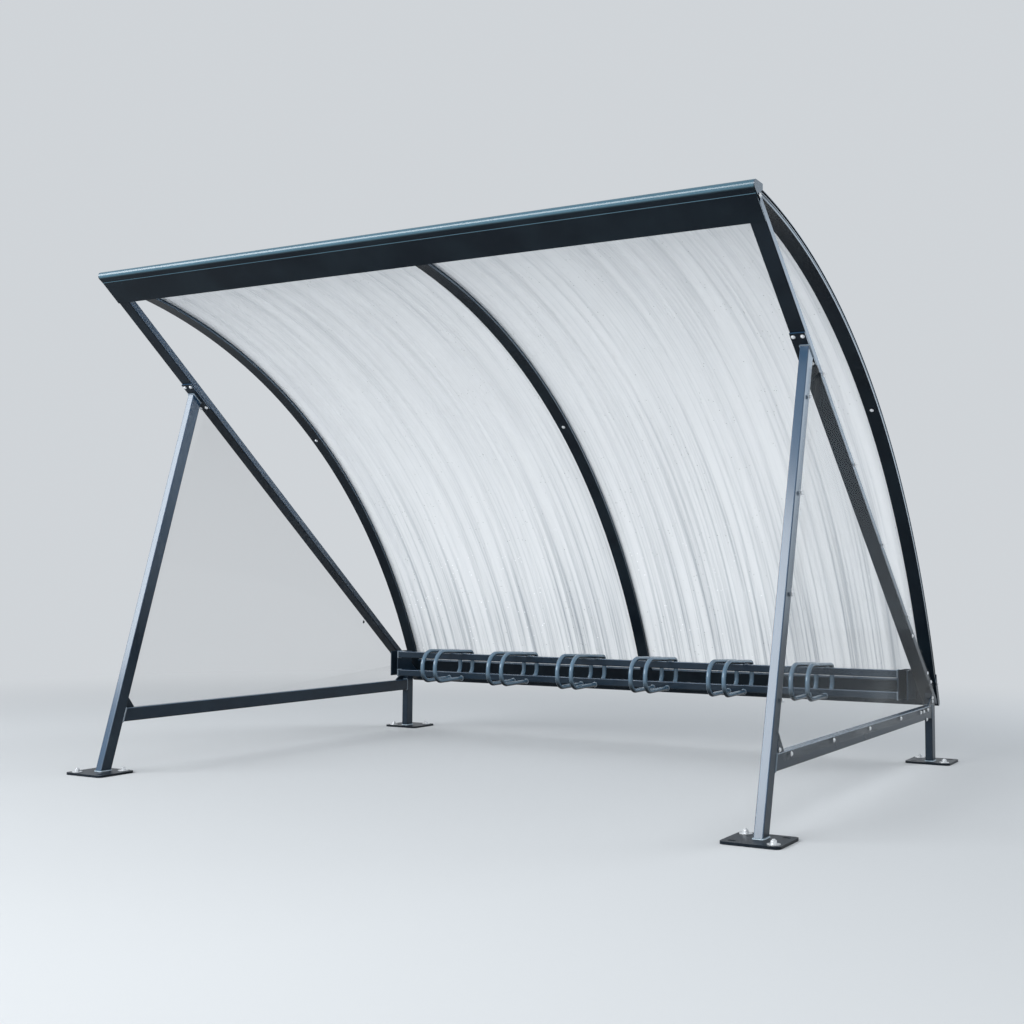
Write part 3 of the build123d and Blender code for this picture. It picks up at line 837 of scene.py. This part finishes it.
under = on_beam(0, 0, -1) - on_beam(0, 0, 0)
for side, sign in sides.items():
    flange_low, flange_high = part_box(f"post_flange_{side}")
    first = along_beam(flange_low.y, -flange_thick) + flange_screws[0]
    last = along_beam(flange_high.y, 0) - flange_screws[1]
    seats = [(on_beam(sign * frame_x + shift, along, -flange_thick), under)
             for along in (first, last)
             for shift in (-flange_screw_pitch / 2, flange_screw_pitch / 2)]
    set_screws(f"flange_screws_{side}", seats)
    rail_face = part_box(f"front_rail_cap_{side}")[1 if sign > 0 else 0].x
    out = Vector((sign, 0, 0))
    tail_low, tail_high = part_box(f"rear_rail_cap_{side}")
    seats = [(on_beam(rail_face, *nose_screw), out),
             (Vector((rail_face, tail_low.y + tail_screw[0], tail_high.z + tail_screw[1])), out)]
    set_screws(f"end_cap_screws_{side}", seats)

# Rack rails: two runs of square tube between end brackets that are welded to the beams.
for part in ("rack_rail_upper", "rack_rail_lower", "rack_bracket_left", "rack_bracket_right"):
    dress(nodes[part], steel_coat)
rail_low, rail_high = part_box("rack_rail_lower")
upper_low, upper_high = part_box("rack_rail_upper")
runs = []
for low, high in ((rail_low, rail_high), (upper_low, upper_high)):
    for x in (low.x, high.x):
        runs += weld_loop([Vector((x, low.y, low.z)), Vector((x, high.y, low.z)),
                           Vector((x, high.y, high.z)), Vector((x, low.y, high.z))])
rail_welds = join(runs, "rail_welds")
finish_piece(rail_welds, weld_coat)

# Wheel hoops: steel tube bent from a foot on the lower rail's back, up, forward over the
# upper rail, round a wide front and back to the lower rail. Two stand to a wheel, each welded
# where it meets a rail. The tube is smooth, and a pale sheen of the sky is painted into its
# colour on all but its downward faces.
# Painted sheen: the pale tone of the hoops' upper and side faces
hoop_sheen = (0.13, 0.19, 0.24, 1.0)
hoop_rise = (-0.95, 0.05)
hoop_coat = powder_coat("hoop_sky_sheen", steel_tones, hoop_sheen, hoop_rise,
                        roughness=0.16, dust=0.15)
hoop_radius = 0.011
hoop_foot = 0.3295
leg_reach = 0.080
leg_y = rail_high.y + leg_reach
hoop_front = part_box("wheel_hoops_1")[0].y + hoop_radius
# The (y, z) corners where two straight runs would meet, and the radius of the bend at each
hoop_corners = ((leg_y, hoop_foot), (leg_y, 0.458), (hoop_front, 0.474), (hoop_front, 0.311))
hoop_bends = (0.045, 0.022, 0.085, 0.060)
hoop_end = Vector((rail_low.y, 0.315))
bend_steps = 12
hoop = start("circle", vertices=20, radius=hoop_radius, fill_type="NGON", rotation=(-pi / 2, 0, 0),
             location=(0, rail_high.y, hoop_foot))
bpy.ops.object.mode_set(mode="EDIT")
here, way = Vector((rail_high.y, hoop_foot)), Vector((1, 0))
for index, bend in enumerate(hoop_bends):
    corner = Vector(hoop_corners[index])
    beyond = Vector(hoop_corners[index + 1]) if index + 1 < len(hoop_corners) else hoop_end
    next_way = (beyond - corner).normalized()
    turn = way.angle(next_way)
    setback = bend * tan(turn / 2)
    run = corner - way * setback - here
    centre = here + run + bend * Vector((-way.y, way.x))
    bpy.ops.mesh.extrude_region_move(TRANSFORM_OT_translate={"value": (0, run.x, run.y)})
    bpy.ops.mesh.spin(steps=bend_steps, angle=turn, axis=(-1, 0, 0), center=(0, centre.x, centre.y))
    here, way = corner + next_way * setback, next_way
run = hoop_end - here
bpy.ops.mesh.extrude_region_move(TRANSFORM_OT_translate={"value": (0, run.x, run.y)})
bpy.ops.mesh.select_all(action="SELECT")
bpy.ops.mesh.normals_make_consistent(inside=False)
bpy.ops.object.mode_set(mode="OBJECT")

hoop_pairs = 6
ring_scales = 24
seam_half = 0.006
weld_ring = copies(weld_pattern, [
    Matrix.Rotation(2 * pi * index / ring_scales, 4, "Y")
    @ Matrix.Translation((hoop_radius, 0, 0)) for index in range(ring_scales)], "weld_ring")
for number in range(1, hoop_pairs + 1):
    low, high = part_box(f"wheel_hoops_{number}")
    tubes = (low.x + hoop_radius, high.x - hoop_radius)
    hoops = copies(hoop, [Matrix.Translation((x, 0, 0)) for x in tubes], f"hoops_{number}")
    finish_piece(hoops, hoop_coat)
    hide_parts(f"wheel_hoops_{number}")
    rings = [Matrix.Translation((x, y, z)) for x in tubes
             for y, z in ((rail_low.y, hoop_end.y), (rail_high.y, hoop_foot))]
    runs = [copies(weld_ring, rings, "rings")]
    for x in tubes:
        for edge in (-seam_half, seam_half):
            runs.append(weld_run(Vector((x + edge, upper_low.y, upper_high.z)),
                                 Vector((x + edge, upper_high.y, upper_high.z))))
    hoop_welds = join(runs, f"hoop_welds_{number}")
    finish_piece(hoop_welds, weld_coat)
for pattern in (hoop, weld_ring, weld_pattern, screw, ring):
    bpy.data.objects.remove(pattern)
